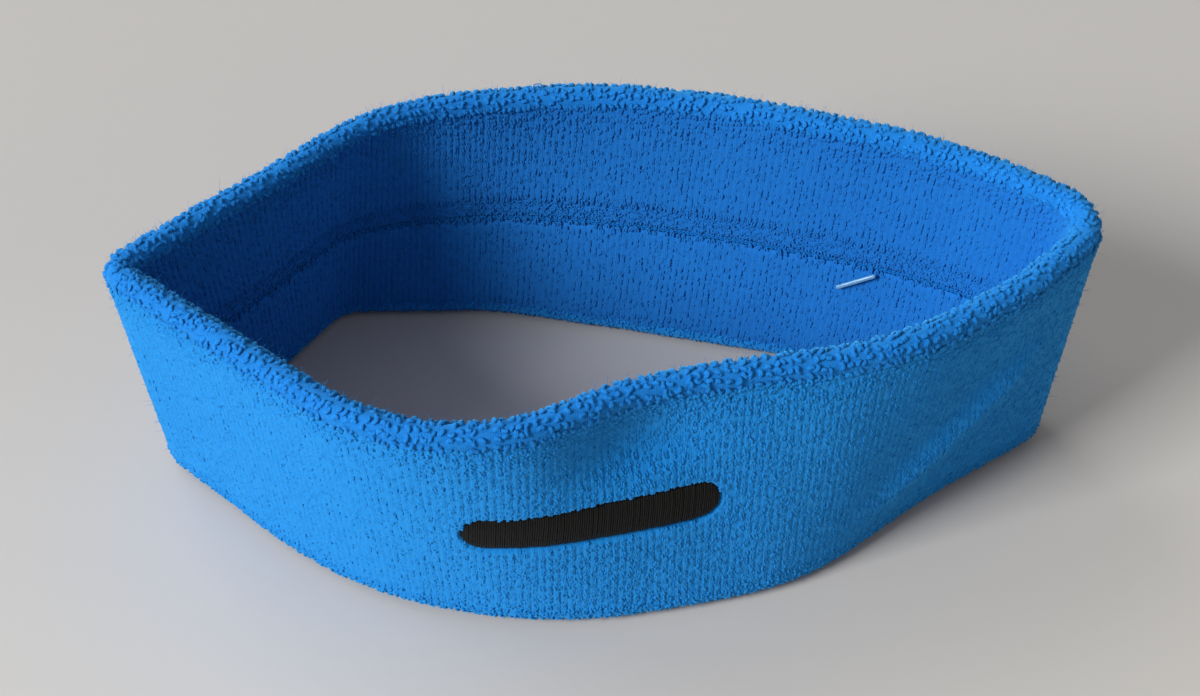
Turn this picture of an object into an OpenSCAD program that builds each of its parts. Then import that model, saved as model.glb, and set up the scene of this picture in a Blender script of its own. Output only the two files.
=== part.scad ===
// Terry sports headband: one knitted towelling tube folded double, linked on the inside,
// with elastic yarns between its layers and an embroidered bar on the front.
// Millimetres, +Z up. The band stands on its lower fold, long way along X, front towards -Y.

/* [Band] */
// Height of the band, fold to fold
band_h = 50; // [44:1:60]
// Thickness of the doubled knit, pile tip to pile tip
band_t = 5.8; // [5.6:0.1:6.2]
// Height of the towelling pile above the ground knit
pile_t = 1.4; // [1.2:0.1:1.5]
// Thickness of the ground knit
ground_t = 0.7; // [0.5:0.1:0.8]
// Width of the flat that the lower fold rests on
rest_w = 1.6; // [1:0.1:2]

/* [Linking seam] */
// Height of the seam above the lower edge
seam_z = 23.5; // [22:0.5:30]
// Diameter of the linking chain
link_d = 1; // [0.8:0.1:1.1]
// Height of the plain knit welt above the seam
welt_h = 3.8; // [2:0.1:6]
// How far the welt stands off the ground knit
welt_t = 0.7; // [0.4:0.1:1]

/* [Elastic yarns] */
// Number of elastic yarns laid round the band
elastic_n = 5; // [3:1:7]
// Diameter of one elastic yarn
elastic_d = 0.6; // [0.4:0.1:0.7]

/* [Embroidered mark] */
// Length of the bar
mark_w = 40; // [20:1:42]
// Height of the bar
mark_h = 8; // [5:1:14]
// Place of the bar's middle along X
mark_x = -3; // [-6:1:2]
// Height of the bar's middle
mark_z = 25; // [20:1:28]
// How far the stitches lie below the pile tips
mark_sink = 0.3; // [0.1:0.1:0.5]
// How far the stabiliser reaches past the bar
backing_rim = 3; // [2:0.5:4]

/* [Tag fastener] */
// Length of the plastic bar
tag_l = 8; // [6:0.1:9]
// Diameter of the plastic bar
tag_d = 0.9; // [0.7:0.1:1.1]
// Place of the bar's middle along X, on the back wall
tag_x = 45.3; // [20:0.5:55]
// Height of the bar's middle
tag_z = 20.8; // [12:0.1:21.5]
// Tilt of the bar, rising towards the right
tag_tilt = 33.5; // [0:0.5:35]

/* [Hidden] */

half_t = band_t / 2;
core = half_t - pile_t - ground_t; // half the gap between the two layers
ground_top = core + ground_t;      // offset of the ground knit's pile side
fold_top = band_h - half_t;        // height where the wall turns into the upper fold
fold_bottom = half_t;              // height where the wall turns into the lower fold
bobbin_t = 0.2;                    // thickness of the bobbin thread behind the bar
bobbin_inset = 0.5;                // how far the bobbin thread stays inside the bar's edge
yarn_clearance = 0.05;             // gap between the elastic yarns and the stabiliser
tag_clearance = 0.05;              // gap between the tag bar and the pile tips
arc_step = 6;                      // degrees between the points of a rounded corner
stations = 54;                     // stations along each half of the outline
crowding = 0.6;                    // how strongly the stations crowd towards the creases
mark_margin = 5;                   // how far past the bar its layers are drawn before they are cut

terry_blue = [0.07, 0.42, 0.88];
knit_blue = [0.05, 0.33, 0.72];
thread_blue = [0.06, 0.30, 0.66];

// Corners of the middle line as [x, y, radius], anticlockwise from the right crease.
// The relaxed band leans and waves, so its upper edge has an outline of its own.
top_corners = [
    [82.5, 6.5, 9], [60, 26, 60], [-2.5, 48, 93], [-40.5, 36, 35],
    [-80, -7, 3.5],
    [-27, -49, 33], [15.5, -31, 60], [45, -25.5, 50], [66, -11, 40]
];
top_left_crease = 4;
bottom_corners = [
    [81, 6, 4.5], [45, 22.5, 100], [-24, 38.5, 60], [-54, 38, 8],
    [-78, -2, 4],
    [-28, -45, 75], [30, -31.5, 47], [56, -10.5, 60]
];
bottom_left_crease = 4;

// ---- the outline ----

function unit(v) = v / norm(v);
function xy(p) = [p.x, p.y];
function turned(v, a) = [v.x * cos(a) - v.y * sin(a), v.x * sin(a) + v.y * cos(a)];
function between(a, b, share) = a * (1 - share) + b * share;

// Points of the arc that rounds corner i, between two shares of its turn.
function corner_arc(corners, i, from, to) =
    let (
        n = len(corners),
        here = xy(corners[i % n]),
        dir_in = unit(here - xy(corners[(i + n - 1) % n])),
        dir_out = unit(xy(corners[(i + 1) % n]) - here),
        turn = atan2(dir_in.x * dir_out.y - dir_in.y * dir_out.x, dir_in * dir_out),
        r = corners[i % n][2],
        start = here - dir_in * r * tan(abs(turn) / 2),
        centre = start + sign(turn) * r * [-dir_in.y, dir_in.x],
        steps = max(2, ceil(abs(turn) * (to - from) / arc_step))
    )
    [for (k = [0:steps]) centre + turned(start - centre, turn * between(from, to, k / steps))];

// The line from the middle of corner a to the middle of corner b.
function crease_to_crease(corners, a, b) = [
    for (p = corner_arc(corners, a, 0.5, 1)) p,
    for (i = [a + 1:b - 1]) for (p = corner_arc(corners, i, 0, 1)) p,
    for (p = corner_arc(corners, b, 0, 0.5)) p
];

function step_length(path, i) = i + 1 < len(path) ? norm(path[i + 1] - path[i]) : 0;
function lengths(path) = [for (i = 0, s = 0; i < len(path); s = s + step_length(path, i), i = i + 1) s];
function crowded(t) = between(t, (1 - cos(180 * t)) / 2, crowding);

function resampled(path) =
    let (
        s = lengths(path),
        xs = [for (i = [0:len(path) - 1]) [s[i], path[i].x]],
        ys = [for (i = [0:len(path) - 1]) [s[i], path[i].y]],
        total = s[len(s) - 1]
    )
    [for (k = [0:stations - 1]) let (at = total * crowded(k / stations)) [lookup(at, xs), lookup(at, ys)]];

function outline(corners, left) = concat(
    resampled(crease_to_crease(corners, 0, left)),
    resampled(crease_to_crease(corners, left, len(corners)))
);

top_line = outline(top_corners, top_left_crease);
bottom_line = outline(bottom_corners, bottom_left_crease);
count = len(top_line);

function outward(line, i) =
    let (along = unit(line[(i + 1) % count] - line[(i + count - 1) % count])) [along.y, -along.x];

top_normals = [for (i = [0:count - 1]) outward(top_line, i)];
bottom_normals = [for (i = [0:count - 1]) outward(bottom_line, i)];

// A point of the wall at station i, n millimetres outside the middle line, at height z.
function drawn(i, n, z) =
    let (
        share = z / band_h,
        base = between(bottom_line[i], top_line[i], share),
        normal = unit(between(bottom_normals[i], top_normals[i], share))
    )
    [base.x + normal.x * n, base.y + normal.y * n, z];

// The same point, with the band's bounding box centred on the Z axis.
rim = [for (i = [0:count - 1]) for (z = [fold_bottom, fold_top]) drawn(i, half_t, z)];
box_mid = [for (axis = [0, 1]) (min([for (p = rim) p[axis]]) + max([for (p = rim) p[axis]])) / 2];
function wall(i, n, z) = drawn(i, n, z) - [box_mid.x, box_mid.y, 0];

// The same point at a place between two stations.
function wall_at(u, n, z) =
    let (i = floor(u)) between(wall(i % count, n, z), wall((i + 1) % count, n, z), u - i);

// The place of x on the back wall, and on the front wall, as a station and a share of the next step.
function back_place(x, n, z) =
    let (i = len([for (k = [0:stations - 1]) if (wall(k, n, z).x > x) k]) - 1, a = wall(i, n, z).x)
    i + (a - x) / (a - wall(i + 1, n, z).x);
function front_place(x, n, z) =
    let (
        i = stations + len([for (k = [stations:count - 1]) if (wall(k, n, z).x < x) k]) - 1,
        a = wall(i, n, z).x
    )
    i + (x - a) / (wall(i + 1, n, z).x - a);

// ---- sections, as [offset, height], carried round the band ----

function rectangle(n0, n1, z0, z1) = [[n0, z0], [n1, z0], [n1, z1], [n0, z1]];
function round_section(n, z, d, sides) =
    [for (k = [0:sides - 1]) [n, z] + d / 2 * [cos(360 * k / sides), sin(360 * k / sides)]];

// The wall of a half tube between radii r0 and r1, about a fold at height z.
function upper_fold(r0, r1, z) = [
    for (k = [0:6]) [r1 * cos(30 * k), z + r1 * sin(30 * k)],
    for (k = [3:-1:0]) [r0 * cos(60 * k), z + r0 * sin(60 * k)]
];
function lower_fold(r0, r1, z) = [for (p = upper_fold(r0, r1, 0)) [-p.x, z - p.y]];

// The lowest point of a section, widened into the flat that rests on a table.
function with_rest(section) =
    [for (p = section) for (n = p.y < 0.01 ? [-rest_w / 2, rest_w / 2] : [p.x]) [n, p.y]];

function loft_points(section, places) = [for (u = places) for (p = section) wall_at(u, p.x, p.y)];
function loft_faces(m, rows, steps) = [
    for (i = [0:steps - 1]) for (j = [0:m - 1])
        let (k = (j + 1) % m, a = i * m, b = ((i + 1) % rows) * m)
        for (f = [[a + j, a + k, b + k], [a + j, b + k, b + j]]) f
];

// All the way round the band.
module ring(section) {
    polyhedron(loft_points(section, [0:count - 1]), loft_faces(len(section), count, count), convexity = 10);
}

// Along the front wall from x0 to x1, with flat ends.
module strip(section, x0, x1) {
    m = len(section);
    first = front_place(x0, 0, mark_z);
    last = front_place(x1, 0, mark_z);
    places = [first, for (i = [ceil(first + 0.1):floor(last - 0.1)]) i, last];
    steps = len(places) - 1;
    near_end = [[for (j = [m - 1:-1:0]) j]];
    far_end = [[for (j = [0:m - 1]) steps * m + j]];
    polyhedron(
        loft_points(section, places),
        concat(loft_faces(m, steps + 1, steps), near_end, far_end),
        convexity = 10
    );
}

// The embroidered bar's outline, grown by some millimetres and cut through the front wall.
module bar_prism(grow) {
    w = mark_w + 2 * grow;
    h = mark_h + 2 * grow;
    front_near = 20;
    front_far = 60;
    translate([mark_x, -front_near, mark_z]) rotate([90, 0, 0]) linear_extrude(front_far - front_near) {
        square([w - h, h], center = true);
        for (x = [-1, 1]) translate([x * (w - h) / 2, 0]) circle(d = h, $fn = 48);
    }
}

// The part of a layer of the front wall that lies under the bar.
module under_bar(n0, n1, grow) {
    half_w = mark_w / 2 + mark_margin;
    intersection() {
        strip(rectangle(n0, n1, mark_z - mark_h, mark_z + mark_h), mark_x - half_w, mark_x + half_w);
        bar_prism(grow);
    }
}

// ---- towelling tube ----

module outer_terry() {
    color(terry_blue) difference() {
        ring(rectangle(ground_top, half_t, fold_bottom, fold_top));
        bar_prism(0);
    }
}

module outer_ground_knit() {
    color(knit_blue) ring(rectangle(core, ground_top, fold_bottom, fold_top));
}

module top_fold_terry() {
    color(terry_blue) ring(upper_fold(ground_top, half_t, fold_top));
}

module top_fold_ground_knit() {
    color(knit_blue) ring(upper_fold(core, ground_top, fold_top));
}

module bottom_fold_terry() {
    color(terry_blue) ring(with_rest(lower_fold(ground_top, half_t, fold_bottom)));
}

module bottom_fold_ground_knit() {
    color(knit_blue) ring(lower_fold(core, ground_top, fold_bottom));
}

module inner_upper_terry() {
    color(terry_blue) ring(rectangle(-half_t, -ground_top, seam_z + link_d / 2 + welt_h, fold_top));
}

module inner_upper_ground_knit() {
    color(knit_blue) ring(rectangle(-ground_top, -core, seam_z, fold_top));
}

module inner_lower_terry() {
    color(terry_blue) ring(rectangle(-half_t, -ground_top, fold_bottom, seam_z - link_d / 2));
}

module inner_lower_ground_knit() {
    color(knit_blue) ring(rectangle(-ground_top, -core, fold_bottom, seam_z));
}

// ---- linking seam ----

module seam_welt() {
    z0 = seam_z + link_d / 2;
    color(knit_blue) ring(rectangle(-ground_top - welt_t, -ground_top, z0, z0 + welt_h));
}

module linking_thread() {
    color(thread_blue) ring(round_section(-ground_top - link_d / 2, seam_z, link_d, 8));
}

// ---- between the layers ----

module elastic_yarns() {
    pitch = (fold_top - fold_bottom) / (elastic_n - 1);
    color("gainsboro") for (k = [0:elastic_n - 1])
        ring(round_section(0, fold_bottom + k * pitch, elastic_d, 5));
}

// ---- embroidery ----

module mark_stitching() {
    color([0.03, 0.03, 0.035]) under_bar(ground_top, half_t - mark_sink, 0);
}

module mark_bobbin_thread() {
    color("dimgray") under_bar(core - bobbin_t, core, -bobbin_inset);
}

module mark_backing() {
    half_w = mark_w / 2 + backing_rim;
    half_h = mark_h / 2 + backing_rim;
    layer = rectangle(elastic_d / 2 + yarn_clearance, core - bobbin_t, mark_z - half_h, mark_z + half_h);
    color("whitesmoke") strip(layer, mark_x - half_w, mark_x + half_w);
}

// ---- tag fastener left in the back wall ----

module tag_fastener_bar() {
    n = -half_t - tag_d / 2 - tag_clearance;
    reach = tag_l / 2;
    rise = reach * sin(tag_tilt);
    right = wall_at(back_place(tag_x + reach * cos(tag_tilt), n, tag_z), n, tag_z + rise);
    left = wall_at(back_place(tag_x - reach * cos(tag_tilt), n, tag_z), n, tag_z - rise);
    dir = unit(right - left);
    color("white") translate((right + left) / 2) rotate([0, acos(dir.z), atan2(dir.y, dir.x)])
        cylinder(d = tag_d, h = tag_l, center = true, $fn = 24);
}

outer_terry();
outer_ground_knit();
top_fold_terry();
top_fold_ground_knit();
bottom_fold_terry();
bottom_fold_ground_knit();
inner_upper_terry();
inner_upper_ground_knit();
inner_lower_terry();
inner_lower_ground_knit();
seam_welt();
linking_thread();
elastic_yarns();
mark_stitching();
mark_bobbin_thread();
mark_backing();
tag_fastener_bar();
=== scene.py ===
"""Terry sports headband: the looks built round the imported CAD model. Metres, +Z up, front towards -Y."""

import math

import bpy
import numpy as np
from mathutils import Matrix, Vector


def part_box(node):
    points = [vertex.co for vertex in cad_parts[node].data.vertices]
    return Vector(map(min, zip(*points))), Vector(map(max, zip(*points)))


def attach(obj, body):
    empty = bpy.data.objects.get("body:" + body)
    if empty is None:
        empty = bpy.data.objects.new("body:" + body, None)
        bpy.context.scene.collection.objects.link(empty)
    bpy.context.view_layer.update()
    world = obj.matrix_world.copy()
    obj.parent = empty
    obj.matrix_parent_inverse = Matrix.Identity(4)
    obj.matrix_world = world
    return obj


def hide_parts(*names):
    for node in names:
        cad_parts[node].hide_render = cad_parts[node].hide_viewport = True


MM = 0.001
rng = np.random.default_rng(11)
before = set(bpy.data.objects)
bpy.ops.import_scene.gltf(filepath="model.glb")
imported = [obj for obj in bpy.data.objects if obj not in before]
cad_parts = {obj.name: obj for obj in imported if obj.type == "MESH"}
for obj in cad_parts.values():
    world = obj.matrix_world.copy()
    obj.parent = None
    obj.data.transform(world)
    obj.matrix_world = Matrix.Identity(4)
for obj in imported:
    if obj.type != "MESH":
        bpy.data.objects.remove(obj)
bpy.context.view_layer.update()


# ---- sizes, read from the CAD model ----


def node_box(name):
    low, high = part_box(name)
    return np.array(low), np.array(high)


FOLD_LOW = node_box("outer_terry")[0][2]  # where the wall turns into the lower fold
FOLD_HIGH = node_box("outer_terry")[1][2]  # where it turns into the upper one
HEIGHT = node_box("top_fold_terry")[1][2]
HALF = HEIGHT - FOLD_HIGH  # middle line to pile tips
GROUND = node_box("top_fold_ground_knit")[1][2] - FOLD_HIGH  # middle line to the ground knit's face
SEAM = node_box("linking_thread")[0][2], node_box("linking_thread")[1][2]
WELT = node_box("seam_welt")[0][2], node_box("seam_welt")[1][2]
MARK_LOW, MARK_HIGH = node_box("mark_stitching")


def unit(v):
    return v / np.maximum(np.linalg.norm(v, axis=-1, keepdims=True), 1e-12)


def knit_edge(level):
    """Middle line, outward normals and knit thickness at one height.

    They come from the two edges of the outer ground knit."""
    co = np.array([v.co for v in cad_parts["outer_ground_knit"].data.vertices])
    flat = np.unique(np.round(co[abs(co[:, 2] - level) < 1e-5][:, :2], 7), axis=0)
    apart = np.linalg.norm(flat[:, None] - flat[None], axis=2) + np.eye(len(flat))
    mate = apart.argmin(1)
    outer = np.linalg.norm(flat, axis=1) > np.linalg.norm(flat[mate], axis=1)
    step = flat[outer] - flat[mate][outer]
    thick = float(np.median(np.linalg.norm(step, axis=1)))
    normal = unit(step)
    middle = flat[outer] - normal * GROUND
    order = np.argsort(np.arctan2(middle[:, 1], middle[:, 0]))
    return middle[order], normal[order], thick


def smooth_loop(p, steps=24):
    """A closed curve through the points."""
    t = np.linspace(0, 1, steps, endpoint=False)[:, None]
    a, b, c, d = (np.roll(p, k, 0)[:, None] for k in (1, 0, -1, -2))
    q = 2 * b + (c - a) * t + (2 * a - 5 * b + 4 * c - d) * t**2 + (3 * b - a - 3 * c + d) * t**3
    return (q / 2).reshape(-1, p.shape[1])


low_line, low_normal, KNIT = knit_edge(FOLD_LOW)
high_line, high_normal, _ = knit_edge(FOLD_HIGH)
turn = min(range(len(low_line)), key=lambda k: ((np.roll(high_line, -k, 0) - low_line) ** 2).sum())
rows = np.hstack([low_line, np.roll(high_line, -turn, 0), low_normal, np.roll(high_normal, -turn, 0)])
rows = smooth_loop(np.roll(rows, -int(rows[:, 0].argmax()), 0))
CORE = GROUND - KNIT
middle = (rows[:, 0:2] + rows[:, 2:4]) / 2
along = np.r_[0, np.cumsum(np.linalg.norm(np.roll(middle, -1, 0) - middle, axis=1))]
ROUND = float(along[-1])  # the band's length, all the way round
rows = np.vstack([rows, rows[:1]])
waves = [(k, rng.uniform(0, 2 * math.pi), rng.uniform(0, 2 * math.pi)) for k in (5, 9, 14, 23)]


def wall(s, z):
    """Middle line, outward normal and upward slope, s metres round from the right crease and z high."""
    s = np.mod(s, ROUND)
    r = np.stack([np.interp(s, along, rows[:, k]) for k in range(8)], -1)
    share = ((z - FOLD_LOW) / (FOLD_HIGH - FOLD_LOW))[..., None]
    base = r[..., 0:2] * (1 - share) + r[..., 2:4] * share
    normal = unit(r[..., 4:6] * (1 - share) + r[..., 6:8] * share)
    slope = (r[..., 2:4] - r[..., 0:2]) / (FOLD_HIGH - FOLD_LOW)
    return base, normal, slope


# Places on the wall, as how far round the band and how high.
DENT = 0.758 * ROUND, 39.5 * MM  # a soft dent between the embroidered bar and the upper edge
DENT_DEPTH = 3.1 * MM
BUCKLE = (0.885 * ROUND, 12.5 * MM), (0.963 * ROUND, 31.5 * MM)  # a low slanting ridge, right front
BUCKLE_RISE = 1.9 * MM


def ripple(s, z):
    """The wall's unevenness, in metres, along its normal."""
    turnings = sum(np.sin(2 * math.pi * k * s / ROUND + p + 5 * k * z) / k**0.5 for k, p, _ in waves)
    reach = np.where(z < DENT[1], 4.5 * MM, 7 * MM)  # it ends above the bar, which lies straight on the wall
    dent = np.exp(-(((s - DENT[0]) / (6.5 * MM)) ** 2) / 2 - ((z - DENT[1]) / reach) ** 2 / 2)
    (s0, z0), (s1, z1) = BUCKLE
    length = math.hypot(s1 - s0, z1 - z0)
    beside = ((s - s0) * (z1 - z0) - (z - z0) * (s1 - s0)) / length
    way = ((s - s0) * (s1 - s0) + (z - z0) * (z1 - z0)) / length
    ridge = np.exp(-((beside / (2.8 * MM)) ** 2) / 2) * np.exp(-(((way - length / 2) / (20 * MM)) ** 4))
    return 0.14 * MM * turnings - DENT_DEPTH * dent + BUCKLE_RISE * ridge


def lift(s, z):
    """Slow rises and dips, which fade towards the lower edge."""
    dips = sum(np.sin(2 * math.pi * k * s / ROUND + q) / k**0.5 for k, _, q in waves)
    return 0.2 * MM * dips * z / HEIGHT


def place(s, n, z):
    """The point n metres outside the middle line."""
    s, n, z = np.broadcast_arrays(*(np.asarray(v, float) for v in (s, n, z)))
    base, normal, _ = wall(s, z)
    flat = base + normal * (n + ripple(s, z))[..., None]
    return np.concatenate([flat, (z + lift(s, z))[..., None]], -1)


def seat(s, centre, a, n=GROUND):
    """Where a loop is rooted, and its axes along the band, round the knit and outwards.

    centre is the height that the tube's section turns about.
    a is the way that the loop looks: 0 outwards, half pi up, pi inwards."""
    _, normal, slope = wall(s, centre)
    out = np.concatenate([normal, np.zeros_like(normal[..., :1])], -1)
    up = unit(np.concatenate([slope, np.ones_like(slope[..., :1])], -1))
    side = np.stack([-normal[..., 1], normal[..., 0], np.zeros(normal.shape[:-1])], -1)
    step = 0.3 * MM
    along_s = ((ripple(s + step, centre) - ripple(s - step, centre)) / (2 * step))[..., None]
    along_z = ((ripple(s, centre + step) - ripple(s, centre - step)) / (2 * step))[..., None]
    out, up, side = (
        unit(out - side * along_s - up * along_z),
        unit(up + out * along_z),
        unit(side + out * along_s),
    )
    c, d = np.cos(a)[..., None], np.sin(a)[..., None]
    root = place(s, n * np.cos(a), centre + n * np.sin(a))
    return root, side, unit(up * c - out * d), unit(out * c + up * d)


# ---- meshes ----


def piece(name, points, quads, corner_uv=None, **fields):
    me = bpy.data.meshes.new(name)
    me.vertices.add(len(points))
    me.vertices.foreach_set("co", np.asarray(points, np.float32).ravel())
    me.loops.add(quads.size)
    me.loops.foreach_set("vertex_index", quads.astype(np.int32).ravel())
    me.polygons.add(len(quads))
    me.polygons.foreach_set("loop_start", np.arange(0, quads.size, 4, dtype=np.int32))
    me.update(calc_edges=True)
    me.polygons.foreach_set("use_smooth", np.ones(len(quads), bool))
    if corner_uv is not None:
        layer = me.uv_layers.new(name="OFBake")
        layer.data.foreach_set("uv", np.asarray(corner_uv, np.float32).ravel())
    for key, values in fields.items():
        values = np.asarray(values, np.float32)
        kind, field = ("FLOAT_VECTOR", "vector") if values.ndim > 1 else ("FLOAT", "value")
        me.attributes.new(key, kind, "POINT").data.foreach_set(field, values.ravel())
    me.validate()
    obj = bpy.data.objects.new(name, me)
    bpy.context.scene.collection.objects.link(obj)
    return obj


def tubes(paths, radius, sides, reference, cells=None, closed=False):
    """Points, faces and face-corner UVs of many yarns of the same point count.

    reference is the way that a tube's first side looks.
    cells is each one's (u, v, width, height) on the UV sheet."""
    n, m, _ = paths.shape
    if closed:
        tangent = unit(np.roll(paths, -1, 1) - np.roll(paths, 1, 1))
    else:
        tangent = unit(np.gradient(paths, axis=1))
    first = unit(reference - tangent * (reference * tangent).sum(-1, keepdims=True))
    second = np.cross(tangent, first)
    angle = 2 * math.pi * np.arange(sides) / sides
    spokes = first[:, :, None] * np.cos(angle)[:, None] + second[:, :, None] * np.sin(angle)[:, None]
    points = (paths[:, :, None] + spokes * np.broadcast_to(radius, (n, m))[:, :, None, None]).reshape(-1, 3)
    segments = m if closed else m - 1
    i, k, j = np.meshgrid(np.arange(n), np.arange(segments), np.arange(sides), indexing="ij")
    here, there, after = (i * m + k) * sides, (i * m + (k + 1) % m) * sides, (j + 1) % sides
    quads = np.stack([here + j, here + after, there + after, there + j], -1).reshape(-1, 4)
    if cells is None:
        cells = np.stack([np.zeros(n), np.arange(n) / n, np.ones(n), np.full(n, 0.9 / n)], -1)
    x = np.stack([k, k, k + 1, k + 1], -1) / segments
    y = np.stack([j, j + 1, j + 1, j], -1) / sides
    c = cells[:, None, None, None]
    uv = np.stack([c[..., 0] + c[..., 2] * y, c[..., 1] + c[..., 3] * x], -1)
    return points, quads, uv.reshape(-1, 2)


def skin(name, section, stations=740, s0=0.0, s1=None, rough=0.0):
    """A closed section, as rows of offset and height, carried along the band.

    Without s1 it goes all the way round. With s1 its ends are closed, which takes an even number of rows."""
    whole = s1 is None
    s = np.linspace(s0, ROUND, stations, endpoint=False) if whole else np.linspace(s0, s1, stations)
    section = np.asarray(section, float)
    m = len(section)
    points = place(s[:, None], section[None, :, 0], section[None, :, 1])
    if rough:
        points += rng.normal(0, rough, points.shape)
    points = points.reshape(-1, 3)
    i, j = np.meshgrid(np.arange(stations if whole else stations - 1), np.arange(m), indexing="ij")
    a, b = i * m, (i + 1) % stations * m
    quads = np.stack([a + j, a + (j + 1) % m, b + (j + 1) % m, b + j], -1).reshape(-1, 4)
    span = len(i)
    uv = np.stack([np.stack([i, i, i + 1, i + 1], -1) / span, np.stack([j, j + 1, j + 1, j], -1) / m], -1)
    if not whole:
        caps = np.array([[0, m - 1 - j, m - 2 - j, m - 3 - j] for j in range(0, m - 2, 2)])
        caps = np.vstack([caps, (stations - 1) * m + caps[:, ::-1]])
        quads = np.vstack([quads, caps])
        patch = np.array([[0, 0], [0.01, 0], [0.01, 0.01], [0, 0.01]])
        uv = np.concatenate([uv.reshape(-1, 4, 2), np.tile(patch, (len(caps), 1, 1))])
    return piece(name, points, quads, uv.reshape(-1, 2))


mark_mid = (MARK_LOW + MARK_HIGH) / 2
mark_w, mark_h = MARK_HIGH[0] - MARK_LOW[0], MARK_HIGH[2] - MARK_LOW[2]
front = np.linspace(0.5 * ROUND, ROUND, 900)  # places along the front wall
front_x = place(front, GROUND, mark_mid[2])[:, 0]  # and their X, level with the bar


def s_at(x):
    return np.interp(x, front_x, front)


def off_mark(s, z):
    """How far a place on the front wall lies outside the embroidered bar, in metres; negative on it."""
    x = np.interp(s, front, front_x, left=9, right=9)
    reach = (mark_w - mark_h) / 2
    away = np.maximum(abs(x - mark_mid[0]) - reach, 0)
    return np.hypot(away, z - mark_mid[2]) - mark_h / 2


# ---- towelling loops ----


def stand(count, low, high):
    return rng.uniform(low * MM, high * MM, count)


WALES = round(ROUND / (1.15 * MM))
COURSE = 0.7 * MM
FOLD_LAP = 0.3  # how far a fold's pile runs on past the quarter turns, in radians


def lay_out(wales, rows, wander, loose=0.09):
    """Loop places in wales and courses, with a little disorder, and each one's cell on the UV sheet."""
    i, j = (v.ravel() for v in np.meshgrid(np.arange(wales), np.arange(rows), indexing="ij"))
    drift = wander * np.sin(0.31 * j + 1.7 * np.sin(i * 1.3))
    s = (i + 0.5 + drift + rng.normal(0, loose, i.size)) * ROUND / wales
    share = (j + 0.5 + rng.normal(0, 0.2, i.size)) / rows
    cells = np.stack([i / wales, j / rows, np.full(i.size, 0.92 / wales), np.full(i.size, 0.92 / rows)], -1)
    return s, np.clip(share, 0.02, 0.98), cells


def loops(s, centre, a, cells, lean, heading, tall, wide, twist, yarn, fine=False, tuck=0.0):
    """Twisted hairpin loops: roots close together on the ground knit, legs that spread, rise, lean and turn.

    fine gives each one nine points instead of seven. tuck bends their tips back down into the pile."""
    if fine:
        rise, spread, crown = np.array([0.2, 0.45, 0.7, 0.92]), np.array([0.7, 0.95, 1.0, 0.68]), 1.04
    else:
        rise, spread, crown = np.array([0.3, 0.65, 0.93]), np.array([0.85, 1.0, 0.7]), 1.05
    f = np.r_[rise, crown, rise[::-1]]
    part = np.r_[-spread, 0.0, spread[::-1]] / 2
    root, side, over, out = seat(s, centre, a)
    way = np.cos(heading)[:, None] * side + np.sin(heading)[:, None] * over
    across = np.cross(out, way)
    g = np.clip(f, 0, None)
    forward, up = g**1.5, 1 - (1 - np.minimum(f, 1.1)) ** 2 - tuck * np.clip(f - 0.6, 0, 1) ** 2
    spine = (
        root[:, None]
        + out[:, None] * (tall[:, None] * up)[..., None]
        + way[:, None] * (lean[:, None] * forward)[..., None]
    )
    run = unit(
        out[:, None] * (tall[:, None] * 2 * (1 - np.minimum(f, 0.97)))[..., None]
        + way[:, None] * (lean[:, None] * 1.5 * g**0.5 + 1e-5)[..., None]
    )
    face = np.cross(run, np.broadcast_to(across[:, None], run.shape))
    phi = (twist[:, None] * g)[..., None]
    aim = np.cos(phi) * across[:, None] + np.sin(phi) * face
    path = spine + aim * (wide[:, None] * part)[..., None]
    flat = np.cos(phi) * face - np.sin(phi) * across[:, None]
    return path, flat, g, out


def mat(section, groove):
    """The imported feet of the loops, as a sheet over the ground knit, bumpy where it looks outwards.

    It has a groove between each wale and the next. Its last result is the way that the cloth faces there."""
    stations = 4 * WALES
    s = np.linspace(0, ROUND, stations, endpoint=False)
    m = len(section)
    n, z = (np.tile(section[:, k], (stations, 1)) for k in (0, 1))
    if n.min() > 0:  # the outer wall gives way to the embroidered bar
        share = np.clip(off_mark(s[:, None], z) / (0.3 * MM), 0, 1)
        n = share * n + (1 - share) * (GROUND - 0.05 * MM)
    n = n - np.sign(n) * np.where(np.arange(stations) % 4 == 0, groove, 0.0)[:, None]
    points = place(s[:, None], n, z)
    bumps = rng.normal(0, 0.06 * MM, (stations, m - 2, 3))
    points[:, 1:-1] += bumps * (n[:, 1:-1, None] > GROUND)
    _, _, up, out = seat(s[:, None] + 0 * z, z, 0 * z)
    dn, dz = np.gradient(section, axis=0).T * (-1 if n.max() < 0 else 1)
    lie = unit(out * dz[:, None] - up * dn[:, None])
    i, j = np.meshgrid(np.arange(stations), np.arange(m - 1), indexing="ij")
    a, b = i * m, (i + 1) % stations * m
    quads = np.stack([a + j, a + j + 1, b + j + 1, b + j], -1).reshape(-1, 4)
    across = np.stack([i, i, i + 1, i + 1], -1) / stations
    uv = np.stack([across, 0.82 + 0.17 * np.stack([j, j + 1, j + 1, j], -1) / (m - 1)], -1)
    return points.reshape(-1, 3), quads, uv.reshape(-1, 2), lie.reshape(-1, 3)


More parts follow.
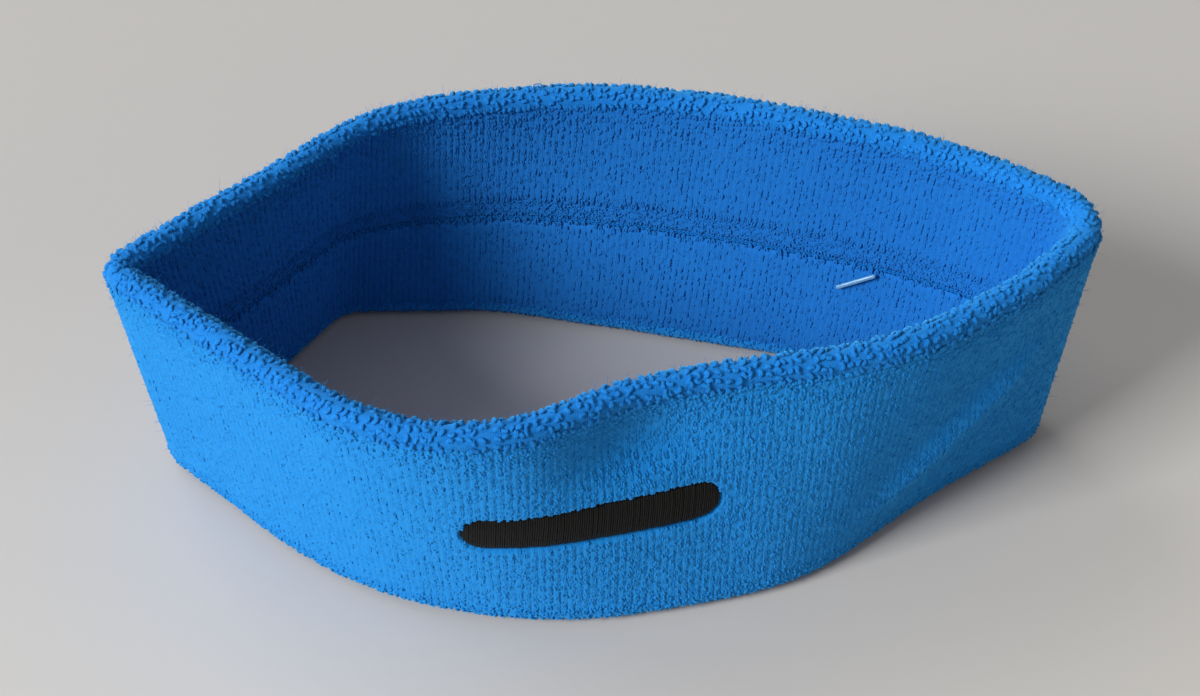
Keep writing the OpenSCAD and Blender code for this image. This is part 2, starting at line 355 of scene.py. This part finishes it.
def pile(name, spec, base, sides=4, groove=0.0):
    """Loops, and the mat of their feet."""
    path, flat, g, out = loops(**spec)
    n, m, _ = path.shape
    thick = spec["yarn"][:, None] * (1 + 0.12 * np.sin(3 * g))
    points, quads, uv = tubes(path, thick, sides, flat, spec["cells"] * [1, 0.8, 1, 0.8])
    shade, tip = np.repeat(rng.uniform(0, 1, n), m * sides), np.repeat(np.tile(g, n), sides)
    lie = np.repeat(out, m * sides, 0)
    mat_points, mat_quads, mat_uv, mat_lie = mat(base, groove)
    quads = np.vstack([quads, mat_quads + len(points)])
    points, uv, lie = np.vstack([points, mat_points]), np.vstack([uv, mat_uv]), np.vstack([lie, mat_lie])
    shade = np.r_[shade, rng.uniform(0, 0.8, len(mat_points))]
    # the mat counts as part way up the loops, so it takes some of the painted root light or shade in yarn()
    tip = np.r_[tip, np.full(len(mat_points), 0.45)]
    points[:, 2] = np.maximum(points[:, 2], 0.02 * MM)
    return piece(name, points, quads, uv, shade=shade, tip=tip, lie=lie)


def wall_mat(z0, z1, side, tall, low_end, high_end):
    """A mat's section on an upright wall; side is 1 outside and -1 inside.

    It is tall in the middle and slopes down to low_end and high_end, all in millimetres."""
    z = np.linspace(z0, z1, round((z1 - z0) / (0.4 * MM)))
    n = np.full(len(z), tall)
    for end, away in ((low_end, z - z0), (high_end, z1 - z)):
        n = np.minimum(n, end + (tall - end) * np.minimum(away / (1.2 * MM), 1) ** 0.5)
    return np.stack([side * (GROUND + n * MM), z], -1)


def fold_mat(centre, a0, n=GROUND + 0.76 * MM):
    """A mat's section round a fold, n from the middle line."""
    a = a0 + np.linspace(-FOLD_LAP, math.pi + FOLD_LAP, 22)
    section = np.stack([n * np.cos(a), centre + n * np.sin(a)], -1)
    section[:, 1] = np.maximum(section[:, 1], 0.1 * MM)
    return section


def wall_loops(z0, z1, inside):
    """Pile of an upright wall: loops pressed down along the wales like shingles, with a few that curl out."""
    s, share, cells = lay_out(WALES, round((z1 - z0) / COURSE), 0.06, 0.06 if inside else 0.1)
    z = z0 + share * (z1 - z0)
    down = math.pi / 2 if inside else -math.pi / 2
    stray = rng.random(len(s)) < (0.1 if inside else 0.16)
    upside = np.where(z1 - z < 1.2 * MM, 0.6, 0.25)  # loops at an upper edge lean over it as often as not
    heading = down + 0.1 + rng.normal(0, 0.2, len(s)) * (1 + 3 * stray)
    heading += math.pi * (rng.random(len(s)) < upside)
    clear = off_mark(s, z)
    if inside:
        clear = np.full(len(s), 1.0)  # nowhere near the bar
    else:
        held = clear > stand(len(s), 0.02, 0.32)
        s, z, cells, heading, clear, stray = (v[held] for v in (s, z, cells, heading, clear, stray))
        near_mark = clear < 1.3 * MM
        heading[near_mark] = np.where(z > mark_mid[2], math.pi / 2, -math.pi / 2)[near_mark]
    n = len(s)
    near = np.clip(1 - np.minimum(FOLD_HIGH - z, 2 * (z - FOLD_LOW)) / (6 * MM), 0, 1)  # 1 beside a fold
    bend = np.clip(2 - abs(s / ROUND - 0.54) / 0.1, 0, 1)  # 1 where the left end bends round
    pressed = bend * (1 - near) * (not inside)
    crowded = (1 - 0.6 * near) * (1 - 0.35 * stray) * np.clip(clear / (1.3 * MM), 0.15, 1)
    return dict(
        s=s,
        centre=z,
        a=np.full(n, math.pi if inside else 0.0),
        cells=cells,
        lean=stand(n, 0.8, 1.2) * crowded,
        heading=heading,
        tall=stand(n, 0.84, 0.97) * (1 + 0.12 * near - 0.14 * pressed - 0.05 * inside),
        wide=stand(n, 0.42, 0.6) * (1 + 0.4 * near),
        twist=rng.normal(0, 0.3, n) * (1 + 1.5 * stray),
        yarn=stand(n, 0.19, 0.24) * (1 + 0.4 * near),
        tuck=1.1,
    )


def fold_loops(centre, a0, rows=6, swell=1.0):
    """Pile of a fold: the loops fan out and show one by one."""
    s, share, cells = lay_out(round(ROUND / (1.2 * MM * swell)), rows, 0.25)
    n = len(s)
    return dict(
        s=s,
        centre=np.full(n, centre),
        a=a0 - FOLD_LAP + (math.pi + 2 * FOLD_LAP) * share,
        cells=cells,
        lean=stand(n, 0.1, 0.45),
        heading=rng.uniform(0, 2 * math.pi, n),
        tall=stand(n, 0.86, 1.02),
        wide=stand(n, 0.52, 0.8) * swell,
        twist=rng.normal(0, 0.6, n),
        yarn=stand(n, 0.29, 0.36) * swell,
        fine=True,
    )


outer = pile(
    "outer_pile",
    wall_loops(FOLD_LOW, FOLD_HIGH, False),
    wall_mat(FOLD_LOW, FOLD_HIGH, 1, 0.9, 0.8, 0.5),
    groove=0.15 * MM,
)
upper = pile(
    "upper_lining_pile",
    wall_loops(WELT[1], FOLD_HIGH, True),
    wall_mat(WELT[1], FOLD_HIGH, -1, 0.9, 0.65, 0.6),
    groove=0.2 * MM,
)
lower = pile(
    "lower_lining_pile",
    wall_loops(FOLD_LOW, SEAM[0], True),
    wall_mat(FOLD_LOW, SEAM[0], -1, 0.9, 0.8, 0.5),
    groove=0.2 * MM,
)
rim = fold_loops(FOLD_HIGH, 0.0)
back = np.linspace(0.02 * ROUND, 0.48 * ROUND, 400)
PULLED_X = -13 * MM  # one loop of the back rim is pulled out here
pulled_s = back[abs(place(back, 0, np.full(400, FOLD_HIGH))[:, 0] - PULLED_X).argmin()]
pulled = np.hypot(rim["s"] - pulled_s, 2 * MM * (rim["a"] - math.pi / 2)).argmin()
rim["tall"][pulled], rim["wide"][pulled], rim["yarn"][pulled] = 2.0 * MM, 1.4 * MM, 0.1 * MM
top = pile("top_rim_pile", rim, fold_mat(FOLD_HIGH, 0.0), sides=5)
bottom = pile(
    "bottom_rim_pile",
    fold_loops(FOLD_LOW, math.pi, rows=8, swell=0.7),
    fold_mat(FOLD_LOW, math.pi, GROUND + 0.85 * MM),
    sides=5,
)

# ---- ground knit ----


def box_section(n0, n1, z0, z1, steps):
    z = np.linspace(z0, z1, steps)
    return np.r_[np.stack([np.full(steps, n1), z], -1), np.stack([np.full(steps, n0), z[::-1]], -1)]


def fold_section(centre, a0, steps=9):
    a = a0 + np.linspace(0, math.pi, steps)
    around = np.stack([np.cos(a), np.sin(a)], -1)
    return np.r_[around * GROUND, around[::-1] * CORE] + [0, centre]


seam_mid = (SEAM[0] + SEAM[1]) / 2
UNEVEN = 0.03 * MM
outer_ground = skin("outer_ground", box_section(CORE, GROUND, FOLD_LOW, FOLD_HIGH, 40), rough=UNEVEN)
upper_ground = skin("upper_lining_ground", box_section(-CORE, -GROUND, seam_mid, FOLD_HIGH, 22), rough=UNEVEN)
lower_ground = skin("lower_lining_ground", box_section(-CORE, -GROUND, FOLD_LOW, seam_mid, 20), rough=UNEVEN)
top_ground = skin("top_rim_ground", fold_section(FOLD_HIGH, 0.0))
bottom_ground = skin("bottom_rim_ground", fold_section(FOLD_LOW, math.pi))

# ---- linking seam ----


def upright(paths):
    """The upward direction, once for every point."""
    return np.broadcast_to([0.0, 0.0, 1.0], paths.shape)


def linking_chain():
    """Two strands that weave past each other along the inside of the band."""
    n, swing, radius = -(GROUND + 0.4 * MM), 0.26 * MM, 0.22 * MM
    links, points_each, strands = round(ROUND / (1.6 * MM)), 8, 2
    t = np.arange(links * points_each) / points_each
    s = t * ROUND / links
    phases = [2 * math.pi * (t + k / strands) for k in range(strands)]
    paths = np.array([place(s, n + swing / 2 * np.cos(2 * f), seam_mid + swing * np.sin(f)) for f in phases])
    points, quads, uv = tubes(paths, np.full(paths.shape[:2], radius), 6, upright(paths), closed=True)
    return piece("linking_stitches", points, quads, uv)


linking = linking_chain()


def welt_loops():
    """Plain courses above the seam, finer and lower than the pile."""
    rows, wales = 6, round(ROUND / (0.62 * MM))
    i, j = (v.ravel() for v in np.meshgrid(np.arange(wales), np.arange(rows), indexing="ij"))
    n = i.size
    z = WELT[0] + (j + 0.5) / rows * (WELT[1] - WELT[0]) + rng.normal(0, 0.06 * MM, n)
    return dict(
        s=(i + 0.5 + rng.normal(0, 0.08, n)) * ROUND / wales,
        centre=z,
        a=np.full(n, math.pi),
        cells=np.stack([i / wales, j / rows, np.full(n, 0.9 / wales), np.full(n, 0.9 / rows)], -1),
        lean=stand(n, 0.35, 0.6),
        heading=math.pi / 2 + rng.normal(0, 0.35, n) + math.pi * (rng.random(n) < 0.5),
        tall=stand(n, 0.5, 0.75),
        wide=stand(n, 0.5, 0.75),
        twist=rng.normal(0, 0.4, n),
        yarn=stand(n, 0.14, 0.18),
    )


welt = pile("welt_courses", welt_loops(), wall_mat(WELT[0], WELT[1], -1, 0.55, 0.4, 0.55))

# ---- elastic yarns between the layers ----


def elastics():
    low, high = node_box("elastic_yarns")
    count, r = 5, 0.3 * MM
    s = np.linspace(0, ROUND, 500, endpoint=False)
    levels = np.linspace(low[2] + r, high[2] - r, count)
    paths = np.array([place(s, 0.0, np.full(len(s), z)) for z in levels])
    ridges = r * (0.94 + 0.05 * np.sin(np.arange(len(s)) * 2.1))
    points, quads, uv = tubes(paths, np.tile(ridges, (count, 1)), 6, upright(paths), closed=True)
    return piece("covered_elastics", points, quads, uv)


elastic = elastics()

# ---- embroidered bar ----


def capsule_half(x):
    """Half the bar's height at place x."""
    r = mark_h / 2
    away = np.maximum(abs(x - mark_mid[0]) - (mark_w / 2 - r), 0)
    return np.sqrt(np.maximum(r * r - away * away, 0))


def satin():
    """Side-by-side stitches over a padded middle, each one diving into the knit at both ends."""
    pitch, steps = 0.34 * MM, 13
    x = np.arange(MARK_LOW[0] + 0.35 * pitch, MARK_HIGH[0] - 0.3 * pitch, pitch)
    x = x + rng.normal(0, 0.02 * MM, len(x))
    half = capsule_half(x) + rng.normal(0, 0.07 * MM, len(x))
    half = np.maximum(half, 0.5 * MM)
    t = np.linspace(-1, 1, steps)
    slant = 0.10
    xs = x[:, None] + slant * half[:, None] * t * 0.5
    z = mark_mid[2] + half[:, None] * t
    crown = 0.55 * MM * (half[:, None] / (mark_h / 2)) ** 0.5
    n = GROUND + 0.25 * MM + crown * (1 - t**4) + rng.normal(0, 0.02 * MM, (len(x), 1))
    n[:, [0, -1]] = GROUND - 0.1 * MM
    paths = place(s_at(xs), n, z)
    side = np.zeros_like(paths)
    side[..., 0] = 1
    r = np.full(paths.shape[:2], 0.2 * MM)
    return tubes(paths, r, 6, side)


def padding():
    """The stitched underlay that fills the bar below the top stitches."""
    m, k = 90, 12
    x = np.linspace(MARK_LOW[0] + 0.1 * MM, MARK_HIGH[0] - 0.1 * MM, m)
    t = np.linspace(-1, 1, k)
    half = np.maximum(capsule_half(x) - 0.1 * MM, 0.05 * MM)
    z = mark_mid[2] + half[:, None] * t
    crown = 0.5 * MM * (half[:, None] / (mark_h / 2)) ** 0.5
    n = GROUND + crown * (1 - t**4)
    front_side = place(s_at(x)[:, None], n, z)
    back_side = place(s_at(x)[:, None], np.full((m, k), GROUND - 0.1 * MM), z)
    grid = np.concatenate([front_side, back_side[:, ::-1]], 1)
    w = 2 * k
    i, j = np.meshgrid(np.arange(m - 1), np.arange(w), indexing="ij")
    here, there, after = i * w, (i + 1) * w, (j + 1) % w
    quads = np.stack([here + j, here + after, there + after, there + j], -1).reshape(-1, 4)
    caps = np.array([[j, w - 1 - j, w - 2 - j, j + 1] for j in range(k - 1)])
    quads = np.vstack([quads, caps, (m - 1) * w + caps[:, ::-1]])
    return grid.reshape(-1, 3), quads


stitch_points, stitch_quads, _ = satin()
pad_points, pad_quads = padding()
mark = piece(
    "bar_satin_stitches",
    np.vstack([stitch_points, pad_points]),
    np.vstack([stitch_quads, pad_quads + len(stitch_points)]),
)


def layer_patch(name, rim, n0, n1):
    """A thin layer behind the bar, reaching rim metres past it on every side."""
    x0, x1 = MARK_LOW[0] - rim, MARK_HIGH[0] + rim
    z0, z1 = MARK_LOW[2] - rim, MARK_HIGH[2] + rim
    return skin(name, box_section(n0, n1, z0, z1, 8), 60, s_at(x0), s_at(x1))


backing = layer_patch("bar_backing_patch", 3 * MM, 0.36 * MM, 0.58 * MM)
bobbin = layer_patch("bar_bobbin_threads", -2.0 * MM, 0.6 * MM, 0.78 * MM)

# ---- tag fastener ----


def tag_bar():
    co = np.array([v.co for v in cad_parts["tag_fastener_bar"].data.vertices])
    middle = (co.min(0) + co.max(0)) / 2
    way = np.linalg.svd(co - co.mean(0), full_matrices=False)[2][0]
    way = way * np.sign(way[0])
    length = np.ptp(co @ way)
    f = np.array([0, 0.012, 0.05, 0.3, 0.46, 0.5, 0.54, 0.7, 0.95, 0.988, 1.0])
    width = np.array([0.2, 0.75, 1.0, 0.96, 1.0, 1.12, 1.0, 0.96, 1.0, 0.75, 0.2]) * 0.45 * MM
    path = middle + way * ((f - 0.5) * length)[:, None]
    out = unit(np.cross([0, 0, 1.0], way))
    points, quads, _ = tubes(path[None], width[None], 12, np.broadcast_to(out, (1, len(f), 3)))
    points = points - out * ((points - middle) @ out)[:, None] * 0.25
    caps = [[k, 11 - k, 10 - k, k + 1] for k in range(5)]
    last = (len(f) - 1) * 12
    quads = np.vstack([quads, np.array(caps), last + np.array(caps)[:, ::-1]])
    return piece("tag_bar", points, quads)


tag = tag_bar()

# ---- stray fibres ----


def fibres(count):
    """Loose fibre ends that stand out of the pile."""
    s = rng.uniform(0, ROUND, count)
    kind = rng.random(count)
    a = np.where(kind < 0.4, 0.0, np.where(kind < 0.7, rng.uniform(0, math.pi, count), math.pi))
    z = np.where(kind < 0.4, rng.uniform(FOLD_LOW, FOLD_HIGH, count), FOLD_HIGH)
    z = np.where(kind > 0.7, rng.uniform(FOLD_LOW, FOLD_HIGH, count), z)
    a = np.where((a == 0) & (off_mark(s, z) < 1.5 * MM), math.pi, a)
    root, side, _, out = seat(s, z, a, HALF - 0.7 * MM)
    t = np.linspace(0, 1, 5)[:, None]
    size = stand(count, 0.5, 1.4)[:, None, None]
    bend = rng.normal(0, 1, (count, 3))
    curl = rng.normal(0, 0.7, (count, 3))
    path = root[:, None] + size * (
        out[:, None] * t * 0.8 + bend[:, None] * 0.45 * t**1.5 + curl[:, None] * 0.35 * np.sin(3 * t) * t
    )
    path[..., 2] = np.maximum(path[..., 2], 0.1 * MM)
    radius = 0.028 * MM * (1 - 0.5 * t[:, 0])
    reference = np.broadcast_to(side[:, None], path.shape)
    points, quads, _ = tubes(path, np.broadcast_to(radius, (count, 5)), 3, reference)
    lie = np.repeat(out, len(points) // count, 0)
    shade = rng.random(len(points))
    return piece("loose_fibres", points, quads, shade=shade, tip=np.ones(len(points)), lie=lie)


fuzz = fibres(12000)

# ---- materials ----


class Shader:
    """A material with a Principled surface, and short ways to add nodes."""

    def __init__(self, name, **fixed):
        self.material = bpy.data.materials.new(name)
        self.material.use_nodes = True
        self.tree = self.material.node_tree
        self.surface = self.tree.nodes["Principled BSDF"]
        for socket, value in fixed.items():
            self.surface.inputs[socket.replace("_", " ")].default_value = value

    def node(self, kind, inputs=(), **settings):
        made = self.tree.nodes.new(kind)
        for key, value in settings.items():
            setattr(made, key, value)
        for key, value in dict(inputs).items():
            self.put(made.inputs[key], value)
        return made

    def put(self, socket, value):
        if isinstance(value, bpy.types.NodeSocket):
            self.tree.links.new(value, socket)
        else:
            socket.default_value = value

    def where(self):
        return self.node("ShaderNodeTexCoord").outputs["Object"]

    def attribute(self, name):
        return self.node("ShaderNodeAttribute", attribute_name=name).outputs["Fac"]

    def noise(self, scale, detail=2.0, rough=0.5, vector=None):
        settings = {"Vector": vector or self.where(), "Scale": scale, "Detail": detail, "Roughness": rough}
        return self.node("ShaderNodeTexNoise", settings).outputs["Fac"]

    def wave(self, scale, distortion, detail=2.0, **settings):
        inputs = {"Vector": self.where(), "Scale": scale, "Distortion": distortion, "Detail": detail}
        return self.node("ShaderNodeTexWave", inputs, **settings).outputs["Fac"]

    def stretch(self, scale):
        """Object coordinates scaled by a different amount along each axis."""
        return self.node("ShaderNodeMapping", {"Vector": self.where(), "Scale": scale}).outputs["Vector"]

    def math(self, kind, *values):
        made = self.node("ShaderNodeMath", operation=kind)
        for socket, value in zip(made.inputs, values):
            self.put(socket, value)
        return made.outputs[0]

    def span(self, value, low, high, start=0.0, end=1.0):
        made = self.node("ShaderNodeMapRange", {"Value": value, "From Min": start, "From Max": end})
        self.put(made.inputs["To Min"], low)
        self.put(made.inputs["To Max"], high)
        return made.outputs["Result"]

    def mix(self, share, a, b, blend="MIX"):
        made = self.node("ShaderNodeMix", data_type="RGBA", blend_type=blend)
        for socket, value in zip((made.inputs[0], made.inputs[6], made.inputs[7]), (share, a, b)):
            self.put(socket, value)
        return made.outputs[2]

    def bump(self, height, distance, strength, normal=None):
        made = self.node("ShaderNodeBump", {"Height": height, "Distance": distance, "Strength": strength})
        if normal:
            self.put(made.inputs["Normal"], normal)
        return made.outputs["Normal"]

    def finish(self, colour, roughness, normal):
        self.put(self.surface.inputs["Base Color"], colour)
        self.put(self.surface.inputs["Roughness"], roughness)
        self.put(self.surface.inputs["Normal"], normal)
        return self.material


def rgb(r, g, b):
    return (r, g, b, 1.0)


def yarn(name, deep, plain, pale, sheen=0.8, base=1.05, calm=0.5):
    """Looped cotton yarn: shade differs from loop to loop, and is fibrous close up.

    base is how light the roots are painted beside the tips: above 1 it is painted light that fills the shade
    between the loops, below 1 painted shade at their feet. Light soaks through the fibres, so calm is how far
    each loop is lit like the face of the cloth around it."""
    m = Shader(name, Sheen_Weight=sheen, Sheen_Roughness=0.5, Specular_IOR_Level=0.15)
    m.surface.inputs["Sheen Tint"].default_value = rgb(0.10, 0.55, 1.0)
    fibres_seen = m.noise(5200.0, 3.0, 0.65)
    patches = m.noise(55.0, 2.0)
    per_loop = m.attribute("shade")
    lightness = m.math("ADD", m.math("MULTIPLY", per_loop, 0.55), m.math("MULTIPLY", patches, 0.45))
    colour = m.mix(m.span(lightness, 0.1, 0.8), plain, pale)
    colour = m.mix(m.span(fibres_seen, 0.0, 0.45, 0.3, 0.75), colour, deep)
    # painted light or shade at the roots, by how far up the loop a point is: base at the roots, 1 at the tips
    shade = m.span(m.attribute("tip"), base, 1.0, 0.0, 0.8)
    painted_root_shading = m.node("ShaderNodeCombineColor", {"Red": shade, "Green": shade, "Blue": shade}).outputs[0]
    colour = m.mix(1.0, colour, painted_root_shading, "MULTIPLY")
    twist = m.wave(900.0, 6.0)
    lie = m.node("ShaderNodeAttribute", attribute_name="lie").outputs["Vector"]
    cloth = m.node("ShaderNodeVectorTransform", {"Vector": lie}, vector_type="NORMAL").outputs["Vector"]
    own = m.node("ShaderNodeNewGeometry").outputs["Normal"]
    blend = m.node("ShaderNodeMix", data_type="VECTOR")
    for socket, value in zip((blend.inputs[0], blend.inputs[4], blend.inputs[5]), (calm, own, cloth)):
        m.put(socket, value)
    facing = m.node("ShaderNodeVectorMath", {0: blend.outputs[1]}, operation="NORMALIZE").outputs["Vector"]
    normal = m.bump(fibres_seen, 0.0001, 0.5, m.bump(twist, 0.00005, 0.3, facing))
    return m.finish(colour, m.span(m.noise(1500.0), 0.72, 0.95), normal)


def knit(name, dark, light):
    """Flat ground knit: rows of small stitches."""
    m = Shader(name, Sheen_Weight=0.25, Sheen_Roughness=0.5, Specular_IOR_Level=0.2)
    m.surface.inputs["Sheen Tint"].default_value = rgb(0.35, 0.62, 1.0)
    wales = m.wave(260.0, 2.0, bands_direction="Z")
    stitches = m.node("ShaderNodeTexVoronoi", {"Vector": m.stretch((900, 900, 700)), "Scale": 1.0})
    mixed = m.math("ADD", m.math("MULTIPLY", wales, 0.4), m.math("MULTIPLY", m.noise(900.0), 0.6))
    colour = m.mix(mixed, dark, light)
    normal = m.bump(stitches.outputs["Distance"], 0.00015, 0.6, m.bump(wales, 0.0001, 0.5))
    return m.finish(colour, m.span(m.noise(700.0), 0.8, 0.95), normal)


def thread(name, dark, light, rough, sheen=0.1, specular=0.4):
    """Filament sewing thread, with fine twist lines and a soft shine."""
    m = Shader(name, Sheen_Weight=sheen, Specular_IOR_Level=specular)
    strands = m.noise(1.0, 3.0, 0.6, m.stretch((6500, 6500, 900)))
    colour = m.mix(m.span(strands, 0.0, 1.0, 0.3, 0.7), dark, light)
    plies = m.wave(1300.0, 3.0, bands_direction="DIAGONAL")
    normal = m.bump(strands, 0.00005, 0.5, m.bump(plies, 0.00005, 0.35))
    return m.finish(colour, m.span(m.noise(2500.0), rough - 0.08, rough + 0.1), normal)


def nylon():
    """Clear white plastic with faint drawing lines and handling marks."""
    m = Shader("white_nylon", IOR=1.53, Subsurface_Weight=0.25, Subsurface_Scale=0.0006)
    lines = m.noise(1.0, 2.0, 0.5, m.stretch((300, 2500, 2500)))
    colour = m.mix(lines, rgb(0.09, 0.27, 0.48), rgb(0.17, 0.37, 0.58))
    return m.finish(colour, m.span(m.noise(900.0), 0.18, 0.42), m.bump(lines, 0.00003, 0.4))


def felt(name, dark, light):
    """Pressed fibre sheet."""
    m = Shader(name, Specular_IOR_Level=0.3)
    web = m.noise(1800.0, 4.0, 0.7)
    return m.finish(m.mix(web, dark, light), m.span(web, 0.75, 0.95), m.bump(web, 0.00008, 0.5))


terry = yarn("terry", rgb(0.003, 0.14, 0.49), rgb(0.005, 0.205, 0.65), rgb(0.010, 0.275, 0.73), calm=0.5)
# painted shade: a darker copy of the terry for the upper rim, whose top faces the light, with its loop roots
# painted darker too (base 0.8)
shaded_rim_terry = yarn(
    "shaded_rim_terry", rgb(0.003, 0.13, 0.48), rgb(0.005, 0.175, 0.60), rgb(0.012, 0.24, 0.72), 0.7, 0.8, calm=0.6
)
# painted shade: a darker copy of the terry for the inside of the band, where the walls stand in each other's
# shade
shaded_lining = yarn(
    "shaded_lining", rgb(0.004, 0.105, 0.40), rgb(0.006, 0.14, 0.52), rgb(0.011, 0.19, 0.60), sheen=0.6, calm=0.65
)
ground = knit("ground", rgb(0.003, 0.11, 0.45), rgb(0.005, 0.16, 0.60))
seam_thread = thread("link", rgb(0.004, 0.11, 0.38), rgb(0.006, 0.15, 0.50), 0.85, 0.0, 0.08)
black = thread("black", rgb(0.003, 0.003, 0.003), rgb(0.008, 0.008, 0.008), 0.5, 0.0, 0.18)
elastic_cover = thread("elastic", rgb(0.45, 0.45, 0.43), rgb(0.62, 0.62, 0.60), 0.6)
bobbin_thread = thread("bobbin", rgb(0.10, 0.10, 0.11), rgb(0.20, 0.20, 0.21), 0.6)
stabiliser = felt("stabiliser", rgb(0.60, 0.60, 0.58), rgb(0.78, 0.78, 0.76))
clear_nylon = nylon()

# Each visual piece, the CAD node that it stands for, its material slot and its look.
dressed = [
    (outer, "outer_terry", "blue_terry", terry),
    (upper, "inner_upper_terry", "blue_terry", shaded_lining),
    (lower, "inner_lower_terry", "blue_terry", shaded_lining),
    (top, "top_fold_terry", "blue_terry", shaded_rim_terry),
    (bottom, "bottom_fold_terry", "blue_terry", terry),
    (welt, "seam_welt", "blue_terry", shaded_lining),
    (fuzz, None, "blue_terry", terry),
    (outer_ground, "outer_ground_knit", "blue_ground_knit", ground),
    (upper_ground, "inner_upper_ground_knit", "blue_ground_knit", ground),
    (lower_ground, "inner_lower_ground_knit", "blue_ground_knit", ground),
    (top_ground, "top_fold_ground_knit", "blue_ground_knit", ground),
    (bottom_ground, "bottom_fold_ground_knit", "blue_ground_knit", ground),
    (linking, "linking_thread", "blue_thread", seam_thread),
    (elastic, "elastic_yarns", "elastic_yarn", elastic_cover),
    (mark, "mark_stitching", "black_thread", black),
    (bobbin, "mark_bobbin_thread", "grey_thread", bobbin_thread),
    (backing, "mark_backing", "white_stabiliser", stabiliser),
    (tag, "tag_fastener_bar", "white_nylon", clear_nylon),
]
for obj, node, slot, look in dressed:
    obj.data.materials.append(look)
    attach(obj, "root")
    if node:
        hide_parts(node)

# ---- table, light and camera ----


def tabletop():
    n = 60
    edge = np.linspace(-1.6, 1.6, n)
    x, y = np.meshgrid(edge, edge, indexing="ij")
    points = np.stack([x.ravel(), y.ravel(), np.zeros(n * n)], -1)
    i, j = np.meshgrid(np.arange(n - 1), np.arange(n - 1), indexing="ij")
    quads = np.stack([i * n + j, (i + 1) * n + j, (i + 1) * n + j + 1, i * n + j + 1], -1).reshape(-1, 4)
    made = piece("tabletop", points, quads)
    m = Shader("table", Specular_IOR_Level=0.15)
    speck = m.noise(260.0, 4.0, 0.6)
    y = m.node("ShaderNodeSeparateXYZ", {"Vector": m.where()}).outputs["Y"]
    specks_and_painted_light = m.math("MULTIPLY_ADD", speck, 0.1, m.span(y, 1.0, 0.0, -0.09, 0.06))  # painted light: paler towards the front, where the band throws a soft shade, plus the table's own random specks
    colour = m.mix(specks_and_painted_light, rgb(0.44, 0.435, 0.43), rgb(0.54, 0.53, 0.505))
    made.data.materials.append(m.finish(colour, m.span(speck, 0.7, 0.9), m.bump(speck, 0.0001, 0.2)))


tabletop()


def lamp(name, at, size, power, colour):
    """A soft rectangular lamp that looks at the band."""
    light = bpy.data.lights.new(name, "AREA")
    light.shape, light.size, light.size_y = "RECTANGLE", size[0], size[1]
    light.energy, light.color = power, colour
    obj = bpy.data.objects.new(name, light)
    bpy.context.scene.collection.objects.link(obj)
    obj.location = at
    x, y, z = at[0], at[1], at[2] - 0.02  # from near the band's middle
    obj.rotation_euler = (math.atan2(math.hypot(x, y), z), 0, math.atan2(y, x) + math.pi / 2)


lamp("key", (-3.96, -2.40, 2.78), (1.87, 2.16), 368.0, (1.0, 0.99, 0.98))
lamp("sky", (-5.4, 3.96, 5.4), (7.2, 7.2), 324.0, (0.96, 0.98, 1.0))

scene = bpy.context.scene
world = bpy.data.worlds.new("room")
world.use_nodes = True
world.node_tree.nodes["Background"].inputs["Color"].default_value = (1.0, 0.94, 0.89, 1)
world.node_tree.nodes["Background"].inputs["Strength"].default_value = 0.335
scene.world = world
scene.view_settings.view_transform = "Standard"

camera = bpy.data.cameras.new("camera")
camera.lens, camera.sensor_width, camera.clip_start, camera.clip_end = 48, 36, 0.01, 20
view = bpy.data.objects.new("camera", camera)
scene.collection.objects.link(view)
view.location = (-0.00175, -0.20194, 0.2117)
view.rotation_euler = (math.radians(47.25), 0, 0)
scene.camera = view
